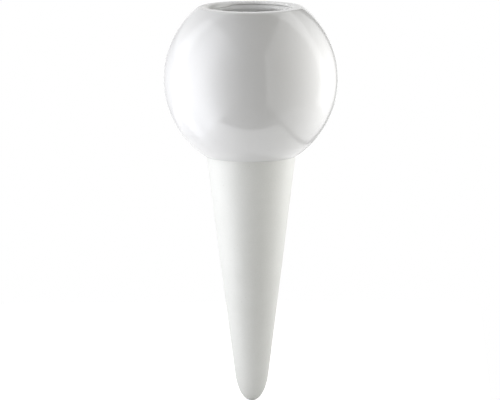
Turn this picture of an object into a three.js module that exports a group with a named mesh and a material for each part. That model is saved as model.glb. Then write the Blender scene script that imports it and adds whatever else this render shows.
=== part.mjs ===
// A ceramic plant waterer. A glazed globe with an open mouth holds the water. The hollow spike of
// porous clay under it is pushed into the soil, and the water seeps out through its wall.
// Units are millimetres and +Z is up. The origin lies on the axis at soil level, at the centre of
// the circle where the outside of the globe meets the outside of the spike.

import * as THREE from 'three';

// Globe
const globeRadius = 44; // outside, at its widest
const globeHalfHeight = 45.6; // outside, centre to pole: the globe is a little taller than a ball
const globeWall = 4.2;
const mouthRadius = 21; // clear opening in the top
const rimRadius = 26.22; // outer edge of the flat rim
const rimRounding = 1.2; // rounding of that edge
const lipRounding = 0.6; // inner edge of the rim
const neckHeight = 3; // upright wall of the mouth, where the shell is thicker
const neckFlare = 2; // height of the curve that leads from that wall out to the hollow
const drainRadius = 9; // hole in the bottom, over the bore of the spike
const drainRounding = 1; // both edges of that hole

// Spike
const spikeTopRadius = 22.5; // outside, at soil level
const spikeLength = 124.2; // soil level to tip
const spikeWall = 4.5; // across the top
const noseRadius = 8.5; // outside, where the straight taper turns into the nose
const noseLength = 14; // from there to the tip
const noseFullness = 0.57; // how far the taper leads into the nose, as a share of noseLength
const tipBluntness = 0.54; // how far the flat of the tip leads outwards, as a share of noseRadius
const boreEndRadius = 4; // round blind end of the bore

// Bond between globe and spike, in a groove that the rim of the spike hides
const seamGap = 0.3; // hairline between the glaze and the rim of the spike
const seamLip = 1.6; // width of that rim
const bondThickness = 1;
const bondGap = 0.3; // free space all round the bond

// Fineness of the curves
const turnSteps = 64;
const globeSteps = 22;
const noseSteps = 8;
const boreEndSteps = 5;
const seatSteps = 3;
const roundingSteps = 3;

// Sizes that follow from those above
const globeCentre = globeHalfHeight * Math.sqrt(1 - (spikeTopRadius / globeRadius) ** 2);
const hollowRadius = globeRadius - globeWall;
const hollowHalfHeight = globeHalfHeight - globeWall;
const rimHeight = onOval(rimRadius, globeRadius, globeHalfHeight, 1).y;
const neckFoot = rimHeight - neckHeight;
const grooveRadius = spikeTopRadius - seamLip;
const grooveDepth = bondThickness + 2 * bondGap;
const boreTopRadius = spikeTopRadius - spikeWall;

const glaze = new THREE.MeshStandardMaterial({ color: 0xf1f2f3, roughness: 0.12, metalness: 0 });
const bareClay = new THREE.MeshStandardMaterial({ color: 0xeeede6, roughness: 0.9, metalness: 0 });
const cement = new THREE.MeshStandardMaterial({ color: 0xd9d6cc, roughness: 0.8, metalness: 0 });

function point(radius, height) {
  return new THREE.Vector2(radius, height);
}

// Point on an oval about the globe's centre, on its upper half with side 1 or its lower half with -1
function onOval(radius, halfWidth, halfHeight, side) {
  return point(radius, globeCentre + side * halfHeight * Math.sqrt(1 - (radius / halfWidth) ** 2));
}

// Arc of such an oval, lowered by drop, between two angles from its widest place
function ovalArc(halfWidth, halfHeight, drop, from, to, steps) {
  const clockwise = from > to;
  const arc = new THREE.EllipseCurve(0, globeCentre - drop, halfWidth, halfHeight, from, to, clockwise);
  return arc.getPoints(steps);
}

// Stretch of the globe's underside between two radii, lowered by drop
function undersideArc(fromRadius, toRadius, drop) {
  const from = -Math.acos(fromRadius / globeRadius);
  const to = -Math.acos(toRadius / globeRadius);
  return ovalArc(globeRadius, globeHalfHeight, drop, from, to, seatSteps);
}

function rounding(start, corner, end) {
  return new THREE.QuadraticBezierCurve(start, corner, end).getPoints(roundingSteps);
}

// Turns an outline, given as runs of points that meet end to end, about the axis
function turned(name, material, ...runs) {
  const outline = runs.flat().filter((here, i, all) => i === 0 || !here.equals(all[i - 1]));
  const geometry = new THREE.LatheGeometry(outline, turnSteps);
  geometry.rotateX(Math.PI / 2);
  const mesh = new THREE.Mesh(geometry, material);
  mesh.name = name;
  return mesh;
}

// Shell with a flat rim and a short neck round the mouth, and a drain hole in the bottom
function makeGlobe() {
  const drainEdge = onOval(drainRadius, globeRadius, globeHalfHeight, -1);
  const drainFoot = onOval(drainRadius + drainRounding, globeRadius, globeHalfHeight, -1);
  const drainFloor = onOval(drainRadius, hollowRadius, hollowHalfHeight, -1);
  const drainTop = onOval(drainRadius + drainRounding, hollowRadius, hollowHalfHeight, -1);
  const outsideStart = -Math.acos(drainFoot.x / globeRadius);
  const outsideEnd = Math.acos(rimRadius / globeRadius) - rimRounding / globeRadius;
  const insideStart = Math.asin((neckFoot - neckFlare - globeCentre) / hollowHalfHeight);
  const insideEnd = -Math.acos(drainTop.x / hollowRadius);
  const outside = ovalArc(globeRadius, globeHalfHeight, 0, outsideStart, outsideEnd, globeSteps);
  const inside = ovalArc(hollowRadius, hollowHalfHeight, 0, insideStart, insideEnd, globeSteps);

  const drainLower = rounding(point(drainRadius, drainEdge.y + drainRounding), drainEdge, drainFoot);
  const rimOuter = rounding(
    outside.at(-1),
    point(rimRadius, rimHeight),
    point(rimRadius - rimRounding, rimHeight),
  );
  const lip = rounding(
    point(mouthRadius + lipRounding, rimHeight),
    point(mouthRadius, rimHeight),
    point(mouthRadius, rimHeight - lipRounding),
  );
  const neck = rounding(point(mouthRadius, neckFoot), point(mouthRadius, neckFoot - neckFlare), inside[0]);
  const drainUpper = rounding(drainTop, drainFloor, point(drainRadius, drainFloor.y - drainRounding));
  const closing = [drainLower[0]];
  return turned(
    'reservoir_globe', glaze,
    drainLower, outside, rimOuter, lip, neck, inside, drainUpper, closing,
  );
}

// Tapered cone with a round nose, a blind bore and a cupped top that the globe sits in
function makeSpike() {
  const taper = (spikeTopRadius - noseRadius) / (spikeLength - noseLength);
  const noseTop = noseLength - spikeLength;
  const leadIn = noseFullness * noseLength;
  const nose = new THREE.CubicBezierCurve(
    point(0, -spikeLength),
    point(tipBluntness * noseRadius, -spikeLength),
    point(noseRadius - taper * leadIn, noseTop - leadIn),
    point(noseRadius, noseTop),
  );
  const rim = undersideArc(spikeTopRadius, grooveRadius, seamGap);
  const grooveFloor = undersideArc(grooveRadius, boreTopRadius, grooveDepth);
  const boreEnd = new THREE.EllipseCurve(0, noseTop, boreEndRadius, boreEndRadius, 0, -Math.PI / 2, true);
  const endOnAxis = point(0, noseTop - boreEndRadius);
  const boreEndArc = [...boreEnd.getPoints(boreEndSteps).slice(0, -1), endOnAxis];
  return turned('clay_spike', bareClay, nose.getPoints(noseSteps), rim, grooveFloor, boreEndArc);
}

// Ring of waterproof cement between the underside of the globe and the groove in the spike
function makeBond() {
  const bondRadius = grooveRadius - bondGap;
  const lower = undersideArc(boreTopRadius, bondRadius, bondGap + bondThickness);
  const upper = undersideArc(bondRadius, boreTopRadius, bondGap);
  const closing = [lower[0]];
  return turned('bond_ring', cement, lower, upper, closing);
}

const plantWaterer = new THREE.Group();
plantWaterer.name = 'plant_waterer';
plantWaterer.add(makeGlobe(), makeSpike(), makeBond());

export default plantWaterer;
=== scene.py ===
import math

import bmesh
import bpy
from mathutils import Euler, Matrix, Vector, noise


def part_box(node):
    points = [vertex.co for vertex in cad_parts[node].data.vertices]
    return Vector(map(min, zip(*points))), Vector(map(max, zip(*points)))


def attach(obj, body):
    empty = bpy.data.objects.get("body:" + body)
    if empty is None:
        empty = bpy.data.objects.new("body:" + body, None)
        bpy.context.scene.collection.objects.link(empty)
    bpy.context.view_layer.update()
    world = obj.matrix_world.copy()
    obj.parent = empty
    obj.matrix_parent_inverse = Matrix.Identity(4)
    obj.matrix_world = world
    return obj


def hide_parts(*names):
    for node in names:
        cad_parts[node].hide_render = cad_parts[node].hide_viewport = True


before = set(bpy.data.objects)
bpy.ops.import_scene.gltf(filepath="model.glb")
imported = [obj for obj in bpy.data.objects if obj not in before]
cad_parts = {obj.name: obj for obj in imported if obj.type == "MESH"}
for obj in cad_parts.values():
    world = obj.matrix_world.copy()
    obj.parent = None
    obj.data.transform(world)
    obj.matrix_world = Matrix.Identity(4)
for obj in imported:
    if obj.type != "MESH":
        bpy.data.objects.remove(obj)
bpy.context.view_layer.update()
scene = bpy.context.scene
scene.view_settings.view_transform = "Standard"
print("frame in, nodes:", ", ".join(sorted(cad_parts)))

millimetre = 0.001
sameSpot = 0.001 * millimetre  # points closer than this are one
white = (1, 1, 1, 1)
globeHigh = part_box("reservoir_globe")[1]
spikeLow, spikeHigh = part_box("clay_spike")
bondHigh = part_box("bond_ring")[1]
soilRadius = spikeHigh.x  # where the outside of the globe meets the outside of the spike
tipHeight = spikeLow.z


# Outlines, turned pieces and small unevenness

def ovalArc(halfWide, halfHigh, middle, start, end, steps):
    angles = [start + (end - start) * k / steps for k in range(steps + 1)]
    return [(halfWide * math.cos(a), middle + halfHigh * math.sin(a)) for a in angles]


# Curve from the first point to the last, pulled towards those between
def pulledRun(points, steps):
    order = len(points) - 1
    run = []
    for k in range(steps + 1):
        t = k / steps
        shares = [math.comb(order, i) * t ** i * (1 - t) ** (order - i) for i in range(order + 1)]
        run.append(tuple(sum(s * p[axis] for s, p in zip(shares, points)) for axis in (0, 1)))
    return run


def straightRun(start, end, steps):
    return [tuple(a + (b - a) * k / steps for a, b in zip(start, end)) for k in range(steps + 1)]


def smoothStep(t):
    t = max(0.0, min(1.0, t))
    return t * t * (3 - 2 * t)


# Rises from 0 at start to 1 at full, and falls again from ending to end
def smoothHump(t, start, full, ending, end):
    return smoothStep((t - start) / (full - start)) * (1 - smoothStep((t - ending) / (end - ending)))


def joinedRuns(*runs):
    outline = []
    for run in runs:
        for point in run:
            if not outline or math.dist(point, outline[-1]) > sameSpot:
                outline.append(point)
    return outline


def turnedShape(outline, turns, closed):
    shape = bmesh.new()
    angles = [2 * math.pi * k / turns for k in range(turns)]
    rings = []
    for radius, height in outline:
        ring = [(radius * math.cos(a), radius * math.sin(a), height) for a in angles]
        if radius < sameSpot:
            ring = [(0, 0, height)]
        rings.append([shape.verts.new(spot) for spot in ring])
    bands = list(zip(rings, rings[1:]))
    if closed:
        bands.append((rings[-1], rings[0]))
    for lower, upper in bands:
        for k in range(turns):
            corners = [lower[k % len(lower)], lower[(k + 1) % len(lower)]]
            corners += [upper[(k + 1) % len(upper)], upper[k % len(upper)]]
            shape.faces.new(list(dict.fromkeys(corners)))  # triangles round a point on the axis
    bmesh.ops.recalc_face_normals(shape, faces=shape.faces)
    shape.normal_update()
    return shape


def flatShape(outline):
    shape = bmesh.new()
    shape.faces.new([shape.verts.new(spot) for spot in outline])
    return shape


seedShift = (1.0, 2.7, -1.3)  # where in the noise one step of a seed leads
calmZone = 4 * millimetre  # over and under soil level


# Pushes the surface inwards by up to depth, in hollows about as wide as size. Near soil level, where
# the globe meets the spike, both stay true.
def unevenSurface(shape, depth, size, seed):
    shift = Vector([seed * share for share in seedShift])
    for vert in shape.verts:
        level = 0.5 + 0.5 * max(-1.0, min(1.0, noise.noise(vert.co / size + shift)))
        calm = min(1.0, abs(vert.co.z) / calmZone)
        vert.co -= vert.normal * depth * level * calm
    shape.normal_update()


def newObject(name, shape, material):
    mesh = bpy.data.meshes.new(name)
    shape.to_mesh(mesh)
    shape.free()
    mesh.materials.append(material)
    made = bpy.data.objects.new(name, mesh)
    scene.collection.objects.link(made)
    return made


def addPiece(name, shape, node, material):
    piece = newObject(name, shape, material)
    faces = piece.data.polygons
    faces.foreach_set("use_smooth", [True] * len(faces))
    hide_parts(node)
    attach(piece, "root")
    print("made", name, "with", len(faces), "faces")


# What stands round the object. Apart from the floor, the camera doesn't see it.
def addStage(name, shape, material, seen=False):
    piece = newObject(name, shape, material)
    piece.visible_camera = seen
    print("set up", name)


# Node helpers. A value is a number, a colour, or the output of another node.

def feed(tree, node, values):
    for key, value in values.items():
        if isinstance(value, bpy.types.NodeSocket):
            tree.links.new(value, node.inputs[key])
        else:
            node.inputs[key].default_value = value


def addNode(tree, kind, place, values, **settings):
    made = tree.nodes.new(kind)
    made.location = place
    for key, value in settings.items():
        setattr(made, key, value)
    feed(tree, made, values)
    return made


def addMath(tree, place, operation, *values):
    return addNode(tree, "ShaderNodeMath", place, dict(enumerate(values)), operation=operation).outputs[0]


def addRange(tree, place, values, **settings):
    return addNode(tree, "ShaderNodeMapRange", place, values, **settings).outputs["Result"]


# The colour below, and the colour above where the mask is 1
def addTint(tree, place, mask, below, above):
    values = {"Factor": mask, 6: below, 7: above}
    return addNode(tree, "ShaderNodeMix", place, values, data_type="RGBA").outputs[2]


# Noise with forms about as wide as size, in metres
def addNoise(tree, row, spot, size, detail, roughness):
    scale = addMath(tree, (-700, row), "DIVIDE", 1.0, size)
    values = {"Vector": spot, "Scale": scale, "Detail": detail, "Roughness": roughness}
    return addNode(tree, "ShaderNodeTexNoise", (-500, row), values).outputs["Fac"]


def addGroup(tree, group, place, values):
    return addNode(tree, "ShaderNodeGroup", place, values, node_tree=group).outputs


def newGroup(name, inputs, outputs):
    tree = bpy.data.node_groups.new(name, "ShaderNodeTree")
    for label, kind, value in inputs:
        tree.interface.new_socket(label, in_out="INPUT", socket_type=kind).default_value = value
    for label, kind in outputs:
        tree.interface.new_socket(label, in_out="OUTPUT", socket_type=kind)
    return tree, tree.nodes.new("NodeGroupInput").outputs, tree.nodes.new("NodeGroupOutput")


def newMaterial(name, colour):
    material = bpy.data.materials.new(name)
    material.use_nodes = True
    material.diffuse_color = colour
    tree = material.node_tree
    return material, tree, tree.nodes["Principled BSDF"]


# 1 for rays that come from the camera, a mirror-like surface or glass, 0 for the others
def addSeenMask(tree):
    path = addNode(tree, "ShaderNodeLightPath", (-800, -200), {}).outputs
    seen = addMath(tree, (-600, -200), "MAXIMUM", path["Is Camera Ray"], path["Is Glossy Ray"])
    return addMath(tree, (-400, -200), "MAXIMUM", seen, path["Is Transmission Ray"])


# Drifting tone of a fired surface: wide clouds and fine flecks between two colours. Sizes are in metres.
def makeFiredTone():
    tree, take, give = newGroup(
        "firedTone",
        [("Pale", "NodeSocketColor", (0.8, 0.8, 0.8, 1)), ("Deep", "NodeSocketColor", (0.7, 0.7, 0.7, 1)),
         ("Cloud Size", "NodeSocketFloat", 0.03), ("Fleck Size", "NodeSocketFloat", 0.0006),
         ("Fleck Share", "NodeSocketFloat", 0.3)],
        [("Color", "NodeSocketColor"), ("Tone", "NodeSocketFloat")])
    spot = addNode(tree, "ShaderNodeTexCoord", (-900, 0), {}).outputs["Object"]
    cloud = addNoise(tree, 200, spot, take["Cloud Size"], detail=3.0, roughness=0.55)
    fleck = addNoise(tree, -200, spot, take["Fleck Size"], detail=2.0, roughness=0.6)
    values = {"Factor": take["Fleck Share"], "A": cloud, "B": fleck}
    both = addNode(tree, "ShaderNodeMix", (-250, 0), values, data_type="FLOAT").outputs["Result"]
    values = {"Value": both, "From Min": 0.34, "From Max": 0.66}  # the noise seldom goes further
    tone = addRange(tree, (-50, 0), values)
    feed(tree, give, {"Color": addTint(tree, (150, 0), tone, take["Deep"], take["Pale"]), "Tone": tone})
    return tree


# Relief of a fired surface: soft grain with scattered pits. Height is in millimetres, sizes and spacing in
# metres, Pit Width is a share of the spacing, and Pits is 1 inside a pit.
def makeBodyRelief():
    tree, take, give = newGroup(
        "bodyRelief",
        [("Grain Size", "NodeSocketFloat", 0.0005), ("Grain Height", "NodeSocketFloat", 0.02),
         ("Pit Spacing", "NodeSocketFloat", 0.004), ("Pit Width", "NodeSocketFloat", 0.1),
         ("Pit Depth", "NodeSocketFloat", 0.1)],
        [("Height", "NodeSocketFloat"), ("Pits", "NodeSocketFloat")])
    spot = addNode(tree, "ShaderNodeTexCoord", (-900, 0), {}).outputs["Object"]
    grain = addNoise(tree, 200, spot, take["Grain Size"], detail=3.0, roughness=0.6)
    pitScale = addMath(tree, (-700, -200), "DIVIDE", 1.0, take["Pit Spacing"])
    values = {"Vector": spot, "Scale": pitScale, "Randomness": 1.0}
    fromPit = addNode(tree, "ShaderNodeTexVoronoi", (-500, -200), values).outputs["Distance"]
    values = {"Value": fromPit, "From Max": take["Pit Width"], "To Min": 1.0, "To Max": 0.0}
    pits = addRange(tree, (-300, -200), values, interpolation_type="SMOOTHSTEP")
    grainLevel = addMath(tree, (-100, 200), "MULTIPLY", grain, take["Grain Height"])
    pitLevel = addMath(tree, (-100, -200), "MULTIPLY", pits, take["Pit Depth"])
    feed(tree, give, {"Height": addMath(tree, (100, 0), "SUBTRACT", grainLevel, pitLevel), "Pits": pits})
    return tree


firedTone = makeFiredTone()
bodyRelief = makeBodyRelief()
print("node groups ready:", firedTone.name, bodyRelief.name)


# What glaze, clay and cement share: a drifting tone, a roughness that follows it, and relief
def addSurface(tree, shader, spec):
    tone = addGroup(tree, firedTone, (-700, 300), spec["tone"])
    relief = addGroup(tree, bodyRelief, (-700, -200), spec["relief"])
    roughDeep, roughPale = spec["roughness"]
    rough = addRange(tree, (-350, 0), {"Value": tone["Tone"], "To Min": roughDeep, "To Max": roughPale})
    values = {"Height": relief["Height"], "Strength": 1.0, "Distance": millimetre}
    bump = addNode(tree, "ShaderNodeBump", (-350, -200), values).outputs["Normal"]
    feed(tree, shader, {"Roughness": rough, "Normal": bump})
    return tone, relief


# Reservoir globe

globe = {
    "stretch": 1.0364,  # half height over half width
    "wall": 4.2 * millimetre,
    "mouthRadius": 21 * millimetre,
    "rimRounding": 0.7 * millimetre,
    "lipRounding": 0.6 * millimetre,
    "lipDepth": 1.3 * millimetre,  # upright edge inside the rim, down to where the glaze stops
    "lipStep": 0.45 * millimetre,  # thickness of that edge
    "lipWave": 0.16 * millimetre,  # its up and down
    "waveScale": 2.3,
    "lipRun": 0.95 * millimetre,  # how much lower the glaze has run at the back on the left
    "runTurns": (22, 36, 75, 120),  # degrees from the back to the left: starts, is full, ends, has ended
    "lipRoll": 3.2 * millimetre,  # how far the lip leans back on the left
    "rollTurns": (12, 37, 95, 125),
    "neckDepth": 3.0 * millimetre,  # upright wall of the mouth, measured from the rim
    "hollowDrop": 2.0 * millimetre,  # from the foot of that wall to where the hollow's own oval starts
    "shoulderPull": 1.2 * millimetre,  # how straight down the wall leads into the hollow
    "drainRadius": 9 * millimetre,
    "drainRounding": 1 * millimetre,
    "turns": 192,
    "steps": {"outside": 110, "hollow": 84, "neck": 12, "rim": 8, "lip": 6, "small": 5, "flat": 4},
    "warpDepth": 0.10 * millimetre,  # what casting and firing leave of a true round
    "warpSize": 26 * millimetre,
    "seed": 1.0,
    "tone": {"Pale": (0.762, 0.762, 0.759, 1), "Deep": (0.738, 0.735, 0.727, 1),
             "Cloud Size": 0.03, "Fleck Size": 0.0012, "Fleck Share": 0.25},
    "relief": {"Grain Size": 0.0032, "Grain Height": 0.006,
               "Pit Spacing": 0.011, "Pit Width": 0.022, "Pit Depth": 0.02},
    "layers": {  # colours over the tone, one after another, each painting light or shade
        "paintedInnerLight": (0.90, 0.90, 0.895, 1),  # painted light: paler inside the hollow and on the mouth's wall
        "paintedEdgeLight": (0.95, 0.945, 0.93, 1),  # painted highlight: paler along the edges of the rim and the drain hole
        "paintedLipShade": (0.42, 0.415, 0.40, 1),  # painted shade: dark line at the foot of the lip's step inside the mouth
    },
    "edgeLightReach": 0.85 * millimetre,  # how far from an edge the painted highlight reaches
    "lipShadeWidth": 0.35 * millimetre,  # half the width of the painted shade line
    "roughness": (0.169, 0.104),  # where the tone is deep and where it is pale
    "ior": 1.65,
}
globeRadius = globeHigh.x
rimHeight = globeHigh.z
globeHalfHeight = globeRadius * globe["stretch"]
globeMiddle = globeHalfHeight * math.sqrt(1 - (soilRadius / globeRadius) ** 2)
hollowRadius = globeRadius - globe["wall"]
hollowHalfHeight = globeHalfHeight - globe["wall"]
rimRadius = globeRadius * math.sqrt(1 - ((rimHeight - globeMiddle) / globeHalfHeight) ** 2)
rimFlatRadius = rimRadius - globe["rimRounding"]
lipEdge = rimHeight - globe["lipDepth"]
neckRadius = globe["mouthRadius"] + globe["lipStep"]
neckFoot = rimHeight - globe["neckDepth"]
neckLimit = neckRadius + 0.01 * millimetre  # takes in the points on the wall itself


# Points on the underside of the globe and on the floor of its hollow

def underside(radius):
    return (radius, globeMiddle - globeHalfHeight * math.sqrt(1 - (radius / globeRadius) ** 2))


def hollowFloor(radius):
    return (radius, globeMiddle - hollowHalfHeight * math.sqrt(1 - (radius / hollowRadius) ** 2))


def globeOutline():
    mouth, lipRound, lipStep = globe["mouthRadius"], globe["lipRounding"], globe["lipStep"]
    drain, drainRound = globe["drainRadius"], globe["drainRounding"]
    steps = globe["steps"]
    drainEdge, drainFoot = underside(drain), underside(drain + drainRound)
    drainFloor, drainTop = hollowFloor(drain), hollowFloor(drain + drainRound)

    start = -math.acos(drainFoot[0] / globeRadius)
    end = math.acos(rimRadius / globeRadius) - globe["rimRounding"] / globeRadius
    outside = ovalArc(globeRadius, globeHalfHeight, globeMiddle, start, end, steps["outside"])
    rimOuter = pulledRun((outside[-1], (rimRadius, rimHeight), (rimFlatRadius, rimHeight)), steps["rim"])
    rimFlat = straightRun(rimOuter[-1], (mouth + lipRound, rimHeight), steps["flat"])
    lipUpper = pulledRun((rimFlat[-1], (mouth, rimHeight), (mouth, rimHeight - lipRound)), steps["lip"])
    lipFoot = ((mouth, lipEdge + lipStep / 2), (mouth, lipEdge), (neckRadius, lipEdge))
    lipLower = pulledRun(lipFoot, steps["small"])
    neck = straightRun((neckRadius, lipEdge - lipStep / 4), (neckRadius, neckFoot), steps["neck"])

    start = math.asin((neckFoot - globe["hollowDrop"] - globeMiddle) / hollowHalfHeight)
    end = -math.acos(drainTop[0] / hollowRadius)
    hollow = ovalArc(hollowRadius, hollowHalfHeight, globeMiddle, start, end, steps["hollow"])
    shoulder = pulledRun((neck[-1], (neckRadius, neckFoot - globe["shoulderPull"]), hollow[0]), steps["rim"])
    drainUpper = pulledRun((drainTop, drainFloor, (drain, drainFloor[1] - drainRound)), steps["small"])
    drainLower = pulledRun(((drain, drainEdge[1] + drainRound), drainEdge, drainFoot), steps["small"])
    return joinedRuns(
        drainLower, outside, rimOuter, rimFlat, lipUpper, lipLower, neck, shoulder, hollow, drainUpper)


# Masks for the layers of painted light and shade: paler inside, a painted highlight over the edges of the
# rim and the drain hole, and a painted shade line under the lip.
def maskPaintedLight(shape):
    mouth, drain = globe["mouthRadius"], globe["drainRadius"]
    edges = [(rimFlatRadius, rimHeight), (mouth, rimHeight), underside(drain), hollowFloor(drain)]
    wallTop, wallFoot = rimHeight - globe["lipRounding"] / 2, neckFoot - millimetre
    ovalLimit = 1.01  # just past the hollow's own oval
    masks = {name: shape.verts.layers.float.new(name) for name in globe["layers"]}
    for vert in shape.verts:
        radius, height = math.hypot(vert.co.x, vert.co.y), vert.co.z
        nearest = min(math.dist((radius, height), edge) for edge in edges)
        # Painted highlight, strongest on the edges of the rim and the drain hole
        vert[masks["paintedEdgeLight"]] = math.exp(-(nearest / globe["edgeLightReach"]) ** 2)
        # Painted light, paler inside the hollow and on the mouth's wall
        within = math.hypot(radius / hollowRadius, (height - globeMiddle) / hollowHalfHeight) < ovalLimit
        onWall = radius < neckLimit and wallFoot < height < wallTop
        vert[masks["paintedInnerLight"]] = 1.0 if within or onWall else 0.0
        # Painted shade, a dark line at the foot of the lip's step
        fromLine = math.dist((radius, height), (neckRadius, lipEdge))
        vert[masks["paintedLipShade"]] = math.exp(-(fromLine / globe["lipShadeWidth"]) ** 2)


# The glaze stops inside the mouth in an uneven edge, and on the left the lip leans back
def shapeLip(shape):
    lipTop = rimHeight - globe["lipRounding"]
    for vert in shape.verts:
        radius, height = math.hypot(vert.co.x, vert.co.y), vert.co.z
        if radius > rimFlatRadius or height < neckFoot:
            continue
        turn = math.degrees(math.atan2(-vert.co.x, vert.co.y))  # 0 at the back, 90 on the left
        if radius < neckLimit and height <= lipTop:
            share = (lipTop - height) / (lipTop - lipEdge)
            if height <= lipEdge:
                share = (height - neckFoot) / (lipEdge - neckFoot)
            run = smoothHump(turn, *globe["runTurns"])
            wave = noise.noise(Vector((vert.co.x, vert.co.y, 0)) / radius * globe["waveScale"])
            vert.co.z -= share * (globe["lipRun"] * run + globe["lipWave"] * wave)
        if height > lipEdge:
            roll = smoothHump(turn, *globe["rollTurns"])
            lean = roll * globe["lipRoll"] * (height - lipEdge) / (rimHeight - lipEdge)
            slack = (rimFlatRadius - radius) / (rimFlatRadius - globe["mouthRadius"])
            wider = (radius + lean * slack) / radius
            vert.co.x *= wider
            vert.co.y *= wider


def makeGlaze():
    material, tree, shader = newMaterial("glaze", globe["tone"]["Pale"])
    colour = addSurface(tree, shader, globe)[0]["Color"]
    # Each layer paints light or shade over the tone
    for row, (layer, above) in enumerate(globe["layers"].items()):
        mask = addNode(tree, "ShaderNodeAttribute", (200 * row - 700, 700), {}, attribute_name=layer)
        colour = addTint(tree, (200 * row - 500, 500), mask.outputs["Fac"], colour, above)
    feed(tree, shader, {"Base Color": colour, "IOR": globe["ior"]})
    return material


def makeGlobe():
    shape = turnedShape(globeOutline(), globe["turns"], closed=True)
    maskPaintedLight(shape)
    shapeLip(shape)
    unevenSurface(shape, globe["warpDepth"], globe["warpSize"], globe["seed"])
    addPiece("reservoirGlobe", shape, "reservoir_globe", makeGlaze())


# Clay spike

spike = {
    "noseRadius": 8.5 * millimetre,  # where the straight taper turns into the nose
    "noseLength": 14 * millimetre,
    "noseFullness": 0.57,  # how far the taper leads into the nose
    "tipBluntness": 0.54,  # how far the flat of the tip leads outwards
    "wall": 4.5 * millimetre,  # across the top
    "boreEndRadius": 4 * millimetre,
    "rimWidth": 1.6 * millimetre,
    "rimRounding": 0.04 * millimetre,
    "seatGap": 0.005 * millimetre,  # between the glaze and the rim
    "grooveDepth": 1.6 * millimetre,
    "turns": 160,
    "steps": {"taper": 80, "bore": 40, "nose": 24, "boreEnd": 10, "rimEdge": 5, "groove": 5, "rim": 4},
    "warpDepth": 0.14 * millimetre,
    "warpSize": 22 * millimetre,
    "seed": 4.0,
    "tone": {"Pale": (0.775, 0.778, 0.751, 1), "Deep": (0.73, 0.735, 0.704, 1),
             "Cloud Size": 0.016, "Fleck Size": 0.0007, "Fleck Share": 0.45},
    "relief": {"Grain Size": 0.0006, "Grain Height": 0.05,
               "Pit Spacing": 0.0042, "Pit Width": 0.075, "Pit Depth": 0.12},
    # Painted shade, darker inside the pits
    "pitShadeColour": (0.5, 0.48, 0.43, 1),
    "pitShadeShare": 0.6,  # how much of that painted shade a pit takes
    "roughness": (0.58, 0.46),
    "specular": 0.6,
}


# Arc along the underside of the globe, lowered by drop
def underGlobe(fromRadius, toRadius, drop, steps):
    start, end = -math.acos(fromRadius / globeRadius), -math.acos(toRadius / globeRadius)
    return ovalArc(globeRadius, globeHalfHeight, globeMiddle - drop, start, end, steps)


def makeBareClay():
    material, tree, shader = newMaterial("bareClay", spike["tone"]["Pale"])
    tone, relief = addSurface(tree, shader, spike)
    # Pits darkened with painted shade
    pitShadeMask = addMath(tree, (-520, 60), "MULTIPLY", relief["Pits"], spike["pitShadeShare"])
    colour = addTint(tree, (-350, 250), pitShadeMask, tone["Color"], spike["pitShadeColour"])
    feed(tree, shader, {"Base Color": colour, "Specular IOR Level": spike["specular"]})
    return material


def makeSpike():
    steps = spike["steps"]
    rimRound, seatGap = spike["rimRounding"], spike["seatGap"]
    noseRadius, endRadius = spike["noseRadius"], spike["boreEndRadius"]
    noseTop = tipHeight + spike["noseLength"]
    taper = (soilRadius - noseRadius) / -noseTop
    leadIn = spike["noseFullness"] * spike["noseLength"]
    grooveRadius = soilRadius - spike["rimWidth"]
    boreRadius = soilRadius - spike["wall"]

    tipPull = (spike["tipBluntness"] * noseRadius, tipHeight)
    taperPull = (noseRadius - taper * leadIn, noseTop - leadIn)
    nose = pulledRun(((0, tipHeight), tipPull, taperPull, (noseRadius, noseTop)), steps["nose"])
    rim = underGlobe(soilRadius - rimRound, grooveRadius, seatGap, steps["rim"])
    shoulder = (soilRadius - taper * 2 * rimRound, -2 * rimRound)
    taperRun = straightRun(nose[-1], shoulder, steps["taper"])
    rimEdge = pulledRun((shoulder, (soilRadius, -seatGap), rim[0]), steps["rimEdge"])
    groove = underGlobe(grooveRadius, boreRadius, spike["grooveDepth"], steps["groove"])
    bore = straightRun(groove[-1], (endRadius, noseTop), steps["bore"])
    boreEnd = ovalArc(endRadius, endRadius, noseTop, 0, -math.pi / 2, steps["boreEnd"])
    boreEnd[-1] = (0, noseTop - endRadius)  # on the axis to the last digit
    outline = joinedRuns(nose, taperRun, rimEdge, rim, groove, bore, boreEnd)
    shape = turnedShape(outline, spike["turns"], closed=False)
    unevenSurface(shape, spike["warpDepth"], spike["warpSize"], spike["seed"])
    addPiece("claySpike", shape, "clay_spike", makeBareClay())


# Bond ring, hidden in the groove between globe and spike

bond = {
    "thickness": 1.3 * millimetre,
    "topGap": 0.1 * millimetre,
    "boreGap": 0.1 * millimetre,  # how far it stays back from the bore
    "turns": 128,
    "steps": {"arc": 8, "side": 4},
    "lumpDepth": 0.18 * millimetre,
    "lumpSize": 3.5 * millimetre,
    "seed": 7.0,
    "tone": {"Pale": (0.70, 0.68, 0.62, 1), "Deep": (0.58, 0.56, 0.50, 1),
             "Cloud Size": 0.005, "Fleck Size": 0.0005, "Fleck Share": 0.5},
    "relief": {"Grain Size": 0.0004, "Grain Height": 0.06,
               "Pit Spacing": 0.0025, "Pit Width": 0.12, "Pit Depth": 0.15},
    "roughness": (0.9, 0.7),
}


def makeCement():
    material, tree, shader = newMaterial("jointCement", bond["tone"]["Pale"])
    colour = addSurface(tree, shader, bond)[0]["Color"]
    feed(tree, shader, {"Base Color": colour})
    return material


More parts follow.
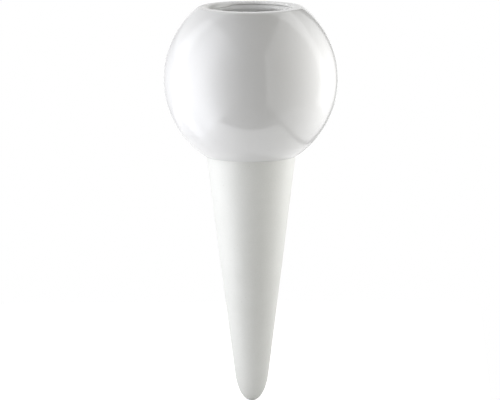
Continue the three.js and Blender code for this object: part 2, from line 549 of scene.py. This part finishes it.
def makeBond():
    steps = bond["steps"]
    outer, inner = bondHigh.x, soilRadius - spike["wall"] + bond["boreGap"]
    upper = underGlobe(outer, inner, bond["topGap"], steps["arc"])
    lower = underGlobe(inner, outer, bond["topGap"] + bond["thickness"], steps["arc"])
    innerSide = straightRun(upper[-1], lower[0], steps["side"])
    outerSide = straightRun(lower[-1], upper[0], steps["side"])
    outline = joinedRuns(upper, innerSide, lower, outerSide)[:-1]  # without the first point again
    shape = turnedShape(outline, bond["turns"], closed=True)
    unevenSurface(shape, bond["lumpDepth"], bond["lumpSize"], bond["seed"])
    addPiece("bondRing", shape, "bond_ring", makeCement())


makeGlobe()
makeSpike()
makeBond()


# Floor, a white board under the object and between the light sheets. From below the view passes through it.

floor = {
    "left": -0.14,
    "right": 0.12,
    "front": -0.121,
    "back": 0.36,
    "corner": 0.025,
    "cornerSteps": 12,
    "colour": (0.6, 0.6, 0.596, 1),
    "roughness": 0.9,
    "lift": 0.66,  # added where it is seen, so that only the shadow stays under white
    "farLift": 1.0,
    "farFrom": 0.16,  # distance from the axis at which it is all white
}


def makeFloor():
    corner, steps = floor["corner"], floor["cornerSteps"]
    corners = (("left", "front", 180), ("right", "front", 270), ("right", "back", 0), ("left", "back", 90))
    outline = []
    for side, end, start in corners:
        x = floor[side] + (corner if side == "left" else -corner)
        y = floor[end] + (corner if end == "front" else -corner)
        for k in range(steps + 1):
            turn = math.radians(start + 90 * k / steps)
            outline.append((x + corner * math.cos(turn), y + corner * math.sin(turn), tipHeight))

    material, tree, shader = newMaterial("whiteBoard", floor["colour"])
    spot = addNode(tree, "ShaderNodeNewGeometry", (-800, -500), {}).outputs
    values = {0: spot["Position"], 1: (1, 1, 0)}
    flat = addNode(tree, "ShaderNodeVectorMath", (-600, -500), values, operation="MULTIPLY").outputs[0]
    away = addNode(tree, "ShaderNodeVectorMath", (-400, -500), {0: flat}, operation="LENGTH").outputs
    lift = addRange(tree, (-200, -500), {
        "Value": away["Value"], "From Max": floor["farFrom"],
        "To Min": floor["lift"], "To Max": floor["farLift"]})
    feed(tree, shader, {
        "Base Color": floor["colour"], "Roughness": floor["roughness"], "Emission Color": white,
        "Emission Strength": addMath(tree, (0, -300), "MULTIPLY", addSeenMask(tree), lift),
        "Alpha": addMath(tree, (-400, -700), "SUBTRACT", 1.0, spot["Backfacing"])})
    addStage("whiteBoard", flatShape(outline), material, seen=True)


makeFloor()


# World, white wherever it is seen

world = {
    "seenStrength": 1.0,
    "fillStrength": 0.008,
}


def makeWorld():
    made = bpy.data.worlds.new("studio")
    scene.world = made
    made.use_nodes = True
    tree = made.node_tree
    strength = addRange(tree, (-200, 0), {
        "Value": addSeenMask(tree), "To Min": world["fillStrength"], "To Max": world["seenStrength"]})
    feed(tree, tree.nodes["Background"], {"Color": white, "Strength": strength})
    print("world set up")


makeWorld()


# Finish of the cove, the cards and the table. A glow over 0 gives off light.
def plainFinish(name, spec):
    material, tree, shader = newMaterial(name, spec["colour"])
    feed(tree, shader, {
        "Base Color": spec["colour"], "Roughness": spec["roughness"],
        "Emission Color": spec["glowColour"], "Emission Strength": spec["glow"]})
    return material


# Dark cove round the camera's side and overhead, which the gloss mirrors between the light sheets

cove = {
    "radius": 1.0,
    "segments": 64,
    "rings": 32,
    "openFrom": 0.2,  # further back than this it is open on the left,
    "openAbove": -0.3,  # and on the right too over this height, from the cove's middle
    "colour": (0.05, 0.048, 0.04, 1),
    "roughness": 0.5,
    "glowColour": (1.0, 0.9, 0.4, 1),  # the dim room is a little warm
    "glow": 0.032,
}


def makeCove():
    shape = bmesh.new()
    bmesh.ops.create_uvsphere(
        shape, u_segments=cove["segments"], v_segments=cove["rings"], radius=cove["radius"])
    behind = [v for v in shape.verts if v.co.y > cove["openFrom"]]
    opened = [v for v in behind if v.co.z > cove["openAbove"] or v.co.x < 0]
    bmesh.ops.delete(shape, geom=opened, context="VERTS")
    bmesh.ops.translate(shape, verts=shape.verts, vec=(0, 0, globeMiddle))
    addStage("darkCove", shape, plainFinish("darkCove", cove))


makeCove()


# Cards behind on both sides and a table beyond the board, out of the frame. The gloss mirrors them as thin
# grey lines. Each is a rectangle between two opposite corners.

tableHeight = tipHeight - 0.04  # under the board
reflectors = {
    "leftCard": {"from": (-0.75, 0.36, -0.12), "to": (-0.135, 0.36, 0.13), "roughness": 0.9,
                 "colour": (0.2, 0.2, 0.2, 1), "glowColour": white, "glow": 0.4},
    "rightCard": {"from": (0.135, 0.36, -0.12), "to": (0.75, 0.36, 0.5), "roughness": 0.9,
                  "colour": (0.09, 0.09, 0.09, 1), "glowColour": white, "glow": 0.0},
    "table": {"from": (0.09, -0.2, tableHeight), "to": (0.4, 0.6, tableHeight), "roughness": 0.9,
              "colour": (0.15, 0.15, 0.15, 1), "glowColour": white, "glow": 0.33},
}


def makeReflector(name, spec):
    (left, front, low), (right, back, high) = spec["from"], spec["to"]
    outline = [(left, front, low), (right, front, low), (right, back, high), (left, back, high)]
    addStage(name, flatShape(outline), plainFinish(name, spec))


for name, spec in reflectors.items():
    makeReflector(name, spec)


# Light sheets, upright on both sides of the object, each with a soft glow where its lamp is behind it

lightSheets = {
    "leftSheet": {
        "x": -0.14, "near": -0.95, "far": 0.06, "low": -0.124, "top": 0.64,
        "farTop": 0.23,  # a line slopes from the near top to this height at the far end
        "overLine": 0.25,  # share of the strength that is left over the line
        "tint": (0.98, 0.99, 1.035),
        "nearEnd": 0.0,  # strength at the near end
        "base": 0.35,  # and from fade on, a share of the length
        "fade": 0.84,
        "glow": 2.74,  # added at glowAt, which is along Y and Z as glowReach is
        "glowAt": (-0.074, -0.14),
        "glowReach": (0.09, 0.42),
        "falloff": 1.4,
    },
    "rightSheet": {
        "x": 0.14, "near": -0.385, "far": 0.20, "low": -0.13, "top": 0.31,
        "farTop": 0.31,
        "overLine": 0.25,
        "tint": (1.0, 1.0, 1.0),
        "nearEnd": 0.8,
        "base": 0.47,
        "fade": 0.3,
        "glow": 2.05,
        "glowAt": (0.013, 0.045),
        "glowReach": (0.084, 0.095),
        "falloff": 1.0,
    },
}
lineSoftness = 0.02  # as a share of a sheet's height


# Strength over a sheet: a base that fades from another level at its near end, and a glow. It is weaker
# over the line. Places and reaches run from 0 to 1.
def makeSheetGlow():
    labels = ("Far Top", "Over Line", "Near End", "Base", "Fade End", "Glow", "Glow Along", "Glow Up",
              "Reach Along", "Reach Up", "Falloff", "Flip")
    inputs = [(label, "NodeSocketFloat", 0.0) for label in labels]
    tree, take, give = newGroup("sheetGlow", inputs, [("Strength", "NodeSocketFloat")])
    place = addNode(tree, "ShaderNodeNewGeometry", (-1000, 0), {}).outputs["Parametric"]
    axes = addNode(tree, "ShaderNodeSeparateXYZ", (-800, 0), {0: place}).outputs
    flipped = addMath(tree, (-600, 150), "SUBTRACT", axes["X"], take["Flip"])
    along, up = addMath(tree, (-400, 150), "ABSOLUTE", flipped), axes["Y"]

    base = addRange(tree, (-200, 350), {
        "Value": along, "From Max": take["Fade End"], "To Min": take["Near End"], "To Max": take["Base"]},
        interpolation_type="SMOOTHSTEP")
    squares = []
    for way, label, row in ((along, "Along", 100), (up, "Up", -150)):
        offset = addMath(tree, (-200, row), "SUBTRACT", way, take["Glow " + label])
        ratio = addMath(tree, (0, row), "DIVIDE", offset, take["Reach " + label])
        squares.append(addMath(tree, (200, row), "MULTIPLY", ratio, ratio))
    spread = addMath(tree, (600, 0), "ADD", addMath(tree, (400, 0), "ADD", *squares), 1.0)
    bent = addMath(tree, (800, 0), "POWER", spread, take["Falloff"])
    glow = addMath(tree, (1000, 0), "DIVIDE", take["Glow"], bent)
    total = addMath(tree, (1200, 200), "ADD", base, glow)

    line = addRange(tree, (200, -400), {"Value": along, "To Min": 1.0, "To Max": take["Far Top"]})
    under = addMath(tree, (600, -400), "SUBTRACT", line, up)
    values = {"Value": under, "From Max": lineSoftness, "To Min": take["Over Line"]}
    kept = addRange(tree, (1000, -400), values, interpolation_type="SMOOTHSTEP")
    feed(tree, give, {"Strength": addMath(tree, (1400, 0), "MULTIPLY", total, kept)})
    return tree


sheetGlow = makeSheetGlow()


# No lamp is seen by the camera
def addLamp(name, lamp, place, turn=(0, 0, 0)):
    holder = bpy.data.objects.new(name, lamp)
    holder.location = place
    holder.rotation_euler = turn
    holder.visible_camera = False
    scene.collection.objects.link(holder)
    print("lit by", name)
    return holder


def makeLightSheet(name, spec):
    length, height = spec["far"] - spec["near"], spec["top"] - spec["low"]
    side = 1 if spec["x"] > 0 else -1
    lamp = bpy.data.lights.new(name, "AREA")
    lamp.shape = "RECTANGLE"
    lamp.size, lamp.size_y = length, height
    lamp.energy = math.pi * length * height  # a radiance of 1 where the strength is 1
    lamp.color = spec["tint"]
    lamp.use_nodes = True
    tree = lamp.node_tree
    strength = addGroup(tree, sheetGlow, (-300, 0), {
        "Far Top": (spec["farTop"] - spec["low"]) / height, "Over Line": spec["overLine"],
        "Near End": spec["nearEnd"], "Base": spec["base"], "Fade End": spec["fade"], "Glow": spec["glow"],
        "Glow Along": (spec["glowAt"][0] - spec["near"]) / length,
        "Glow Up": (spec["glowAt"][1] - spec["low"]) / height,
        "Reach Along": spec["glowReach"][0] / length, "Reach Up": spec["glowReach"][1] / height,
        "Falloff": spec["falloff"], "Flip": 1.0 if side < 0 else 0.0})
    feed(tree, tree.nodes["Emission"], {"Color": strength["Strength"]})
    middle = (spec["x"], (spec["near"] + spec["far"]) / 2, (spec["top"] + spec["low"]) / 2)
    addLamp(name, lamp, middle, Euler((math.pi / 2, 0, side * math.pi / 2), "XYZ"))


for name, spec in lightSheets.items():
    makeLightSheet(name, spec)


# Soft lamps that the gloss doesn't mirror: over the left sheet for the shoulder and the rim, behind for the
# back, and in the mouth for the inner wall at the back on the right. Spread is in degrees.

softLamps = {
    "overLeft": {"place": (-0.3, 0.05, 0.2), "aim": (0, 0, 0.05), "size": 0.1, "spread": 180, "power": 0.18},
    "behind": {"place": (0.12, 0.75, 0.12), "aim": (0, 0, -0.01), "size": 0.3, "spread": 40, "power": 0.11},
    "acrossMouth": {"place": (-0.008, -0.008, 0.0752), "aim": (0.0183, 0.0105, 0.0735), "size": 0.006,
                    "spread": 70, "power": 0.00025},
}
hollowLamp = {"place": (0, 0, 0.045), "radius": 0.012, "power": 0.0036}  # light that the hollow scatters


def makeSoftLamp(name, spec):
    lamp = bpy.data.lights.new(name, "AREA")
    lamp.shape = "DISK"
    lamp.size = spec["size"]
    lamp.spread = math.radians(spec["spread"])
    lamp.energy = spec["power"]
    ray = Vector(spec["aim"]) - Vector(spec["place"])
    addLamp(name, lamp, spec["place"], ray.to_track_quat("-Z", "Y").to_euler()).visible_glossy = False


def makeHollowLamp():
    lamp = bpy.data.lights.new("inHollow", "POINT")
    lamp.shadow_soft_size = hollowLamp["radius"]
    lamp.energy = hollowLamp["power"]
    addLamp("inHollow", lamp, hollowLamp["place"]).visible_glossy = False


for name, spec in softLamps.items():
    makeSoftLamp(name, spec)
makeHollowLamp()


# Camera, computed for the photograph's frame of 500 by 400

photoView = {
    "elevation": 7.5,  # degrees
    "roll": 0.2,  # degrees by which the object's top leans left in the frame
    "distance": 8.0,  # far off, because the photograph shows next to no perspective
    "frameWidth": 0.2519,  # width of the frame at the object
    "aim": (-0.0006, 0.0, -0.0223),  # point in the middle of the frame
    "sensorWidth": 36.0,
    "clip": (0.05, 20.0),
}


def makeCamera():
    data = bpy.data.cameras.new("photoCamera")
    data.sensor_fit = "HORIZONTAL"
    data.sensor_width = photoView["sensorWidth"]
    data.lens = photoView["sensorWidth"] * photoView["distance"] / photoView["frameWidth"]
    data.clip_start, data.clip_end = photoView["clip"]
    camera = bpy.data.objects.new("photoCamera", data)
    tilt = math.radians(photoView["elevation"])
    back = Vector((0, -math.cos(tilt), math.sin(tilt)))
    camera.location = Vector(photoView["aim"]) + back * photoView["distance"]
    roll = Matrix.Rotation(-math.radians(photoView["roll"]), 3, "Z")
    camera.rotation_euler = (back.to_track_quat("Z", "Y").to_matrix() @ roll).to_euler()
    scene.collection.objects.link(camera)
    scene.camera = camera
    print("camera set up")


makeCamera()
